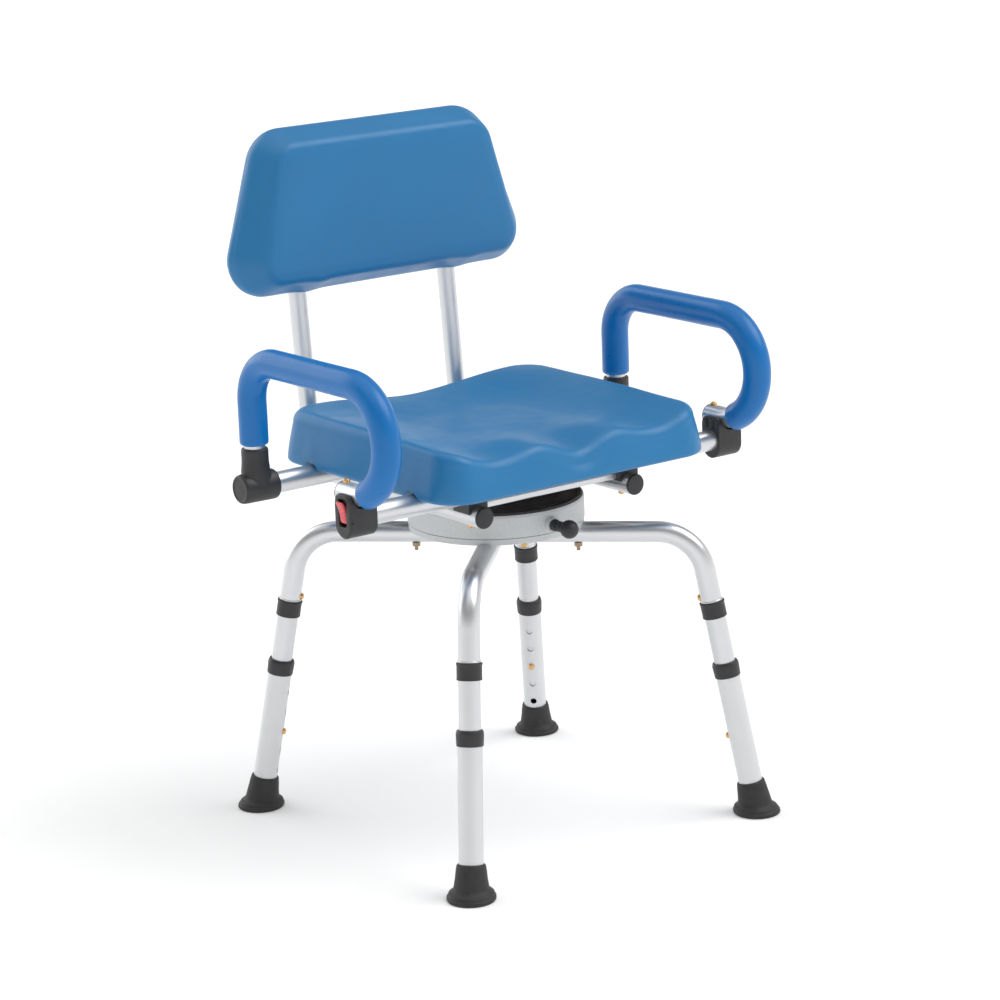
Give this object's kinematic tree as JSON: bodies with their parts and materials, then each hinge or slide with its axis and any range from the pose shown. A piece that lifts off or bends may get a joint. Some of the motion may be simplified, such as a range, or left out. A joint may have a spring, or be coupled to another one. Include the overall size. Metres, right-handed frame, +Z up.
{
  "type": "swivel shower chair",
  "caption": "Padded swivel bath and shower chair with a round lockable turntable base, lift-up padded armrests, a backrest and height-adjustable splayed tube legs.",
  "frame": {"origin": "on the floor, under the swivel axis, midway between the four feet", "axes": "+Z up along the swivel axis, -Y to the front of the seat at rest, +X to the sitter's left"},
  "size_m": [0.592, 0.513, 0.8293],
  "materials": {
    "foam_blue": "satin self-skinned foam",
    "grip_blue": "satin foam sleeve",
    "tube_aluminium": "satin anodised",
    "leg_aluminium": "frosted anodised",
    "housing_grey": "moulded satin",
    "black_plastic": "fine-textured moulded",
    "foot_rubber": "matt moulded",
    "brass": "worn satin",
    "steel": "bright",
    "lever_red": "satin moulded",
    "board_wood": "bare plywood"
  },
  "bodies": {
    "base": {"base_housing": "housing_grey", "base_plate": "housing_grey", "plunger_bush": "black_plastic", "leg_upper_tube_fr": "tube_aluminium", "leg_upper_tube_fl": "tube_aluminium", "leg_upper_tube_rr": "tube_aluminium", "leg_upper_tube_rl": "tube_aluminium", "leg_middle_tube_fr": "tube_aluminium", "leg_middle_tube_fl": "tube_aluminium", "leg_middle_tube_rr": "tube_aluminium", "leg_middle_tube_rl": "tube_aluminium", "upper_collars": "black_plastic", "leg_bolts": "brass"},
    "seat": {"turntable": "black_plastic", "bearing_balls": "steel", "seat_rail_right": "tube_aluminium", "seat_rail_left": "tube_aluminium", "rail_end_caps": "black_plastic", "front_cross_tube": "tube_aluminium", "rear_cross_tube": "tube_aluminium", "saddle_blocks": "black_plastic", "seat_board": "board_wood", "seat_pad": "foam_blue", "backrest_tube_right": "tube_aluminium", "backrest_tube_left": "tube_aluminium", "backrest_insert": "tube_aluminium", "backrest_pad": "foam_blue", "latch_body_right": "black_plastic", "latch_body_left": "black_plastic"},
    "armrest_right": {"armrest_tee_right": "black_plastic", "armrest_tube_right": "tube_aluminium", "armrest_grip_right": "grip_blue"},
    "armrest_left": {"armrest_tee_left": "black_plastic", "armrest_tube_left": "tube_aluminium", "armrest_grip_left": "grip_blue"},
    "latch_lever_right": {"latch_lever_right": "lever_red"},
    "latch_lever_left": {"latch_lever_left": "lever_red"},
    "index_knob": {"index_knob": "black_plastic"},
    "leg_fr": {"leg_lower_tube_fr": "leg_aluminium", "lower_collar_fr": "black_plastic", "foot_fr": "foot_rubber"},
    "leg_fl": {"leg_lower_tube_fl": "leg_aluminium", "lower_collar_fl": "black_plastic", "foot_fl": "foot_rubber"},
    "leg_rr": {"leg_lower_tube_rr": "leg_aluminium", "lower_collar_rr": "black_plastic", "foot_rr": "foot_rubber"},
    "leg_rl": {"leg_lower_tube_rl": "leg_aluminium", "lower_collar_rl": "black_plastic", "foot_rl": "foot_rubber"},
    "height_button_fr": {"height_button_fr": "brass"},
    "height_button_fl": {"height_button_fl": "brass"},
    "height_button_rr": {"height_button_rr": "brass"},
    "height_button_rl": {"height_button_rl": "brass"},
    "upper_button_fr": {"upper_button_fr": "brass"},
    "upper_button_fl": {"upper_button_fl": "brass"},
    "upper_button_rr": {"upper_button_rr": "brass"},
    "upper_button_rl": {"upper_button_rl": "brass"},
    "rail_button_right": {"rail_button_right": "brass"},
    "rail_button_left": {"rail_button_left": "brass"}
  },
  "joints": [
    {"name": "seat_swivel", "type": "hinge", "parent": "base", "child": "seat", "pos_m": [0, 0, 0.4], "axis": [0, 0, 1], "continuous": true},
    {"name": "index_knob_pull", "type": "slide", "parent": "base", "child": "index_knob", "axis": [0, -1, 0], "range_m": [0, 0.006], "stiffness_N_per_m": 900},
    {"name": "armrest_right_lift", "type": "hinge", "parent": "seat", "child": "armrest_right", "pos_m": [-0.272, 0.101, 0.4372], "axis": [-1, 0, 0], "range_deg": [0, 110]},
    {"name": "armrest_left_lift", "type": "hinge", "parent": "seat", "child": "armrest_left", "pos_m": [0.272, 0.101, 0.4372], "axis": [-1, 0, 0], "range_deg": [0, 110]},
    {"name": "latch_lever_right_tilt", "type": "hinge", "parent": "seat", "child": "latch_lever_right", "pos_m": [-0.2872, -0.101, 0.4365], "axis": [0, -1, 0], "range_deg": [0, 15], "stiffness_Nm_per_rad": 0.2},
    {"name": "latch_lever_left_tilt", "type": "hinge", "parent": "seat", "child": "latch_lever_left", "pos_m": [0.2872, -0.101, 0.4365], "axis": [0, 1, 0], "range_deg": [0, 15], "stiffness_Nm_per_rad": 0.2},
    {"name": "leg_fr_height", "type": "slide", "parent": "base", "child": "leg_fr", "axis": [-0.1313, -0.1313, -0.9826], "range_m": [-0.0508, 0.0508], "deforming": ["height_button_fr"]},
    {"name": "leg_fl_height", "type": "slide", "parent": "base", "child": "leg_fl", "axis": [0.1313, -0.1313, -0.9826], "range_m": [-0.0508, 0.0508], "deforming": ["height_button_fl"]},
    {"name": "leg_rr_height", "type": "slide", "parent": "base", "child": "leg_rr", "axis": [-0.1313, 0.1313, -0.9826], "range_m": [-0.0508, 0.0508], "deforming": ["height_button_rr"]},
    {"name": "leg_rl_height", "type": "slide", "parent": "base", "child": "leg_rl", "axis": [0.1313, 0.1313, -0.9826], "range_m": [-0.0508, 0.0508], "deforming": ["height_button_rl"]},
    {"name": "height_button_fr_press", "type": "slide", "parent": "base", "child": "height_button_fr", "axis": [-0.6948, -0.6948, 0.1857], "range_m": [0, 0.004], "stiffness_N_per_m": 1500},
    {"name": "height_button_fl_press", "type": "slide", "parent": "base", "child": "height_button_fl", "axis": [0.6948, -0.6948, 0.1857], "range_m": [0, 0.004], "stiffness_N_per_m": 1500},
    {"name": "height_button_rr_press", "type": "slide", "parent": "base", "child": "height_button_rr", "axis": [-0.6948, 0.6948, 0.1857], "range_m": [0, 0.004], "stiffness_N_per_m": 1500},
    {"name": "height_button_rl_press", "type": "slide", "parent": "base", "child": "height_button_rl", "axis": [0.6948, 0.6948, 0.1857], "range_m": [0, 0.004], "stiffness_N_per_m": 1500},
    {"name": "upper_button_fr_press", "type": "slide", "parent": "base", "child": "upper_button_fr", "axis": [-0.6948, -0.6948, 0.1857], "range_m": [0, 0.004], "stiffness_N_per_m": 1500},
    {"name": "upper_button_fl_press", "type": "slide", "parent": "base", "child": "upper_button_fl", "axis": [0.6948, -0.6948, 0.1857], "range_m": [0, 0.004], "stiffness_N_per_m": 1500},
    {"name": "upper_button_rr_press", "type": "slide", "parent": "base", "child": "upper_button_rr", "axis": [-0.6948, 0.6948, 0.1857], "range_m": [0, 0.004], "stiffness_N_per_m": 1500},
    {"name": "upper_button_rl_press", "type": "slide", "parent": "base", "child": "upper_button_rl", "axis": [0.6948, 0.6948, 0.1857], "range_m": [0, 0.004], "stiffness_N_per_m": 1500},
    {"name": "rail_button_right_press", "type": "slide", "parent": "seat", "child": "rail_button_right", "axis": [0, 0, 1], "range_m": [0, 0.004], "stiffness_N_per_m": 1500},
    {"name": "rail_button_left_press", "type": "slide", "parent": "seat", "child": "rail_button_left", "axis": [0, 0, 1], "range_m": [0, 0.004], "stiffness_N_per_m": 1500}
  ]
}
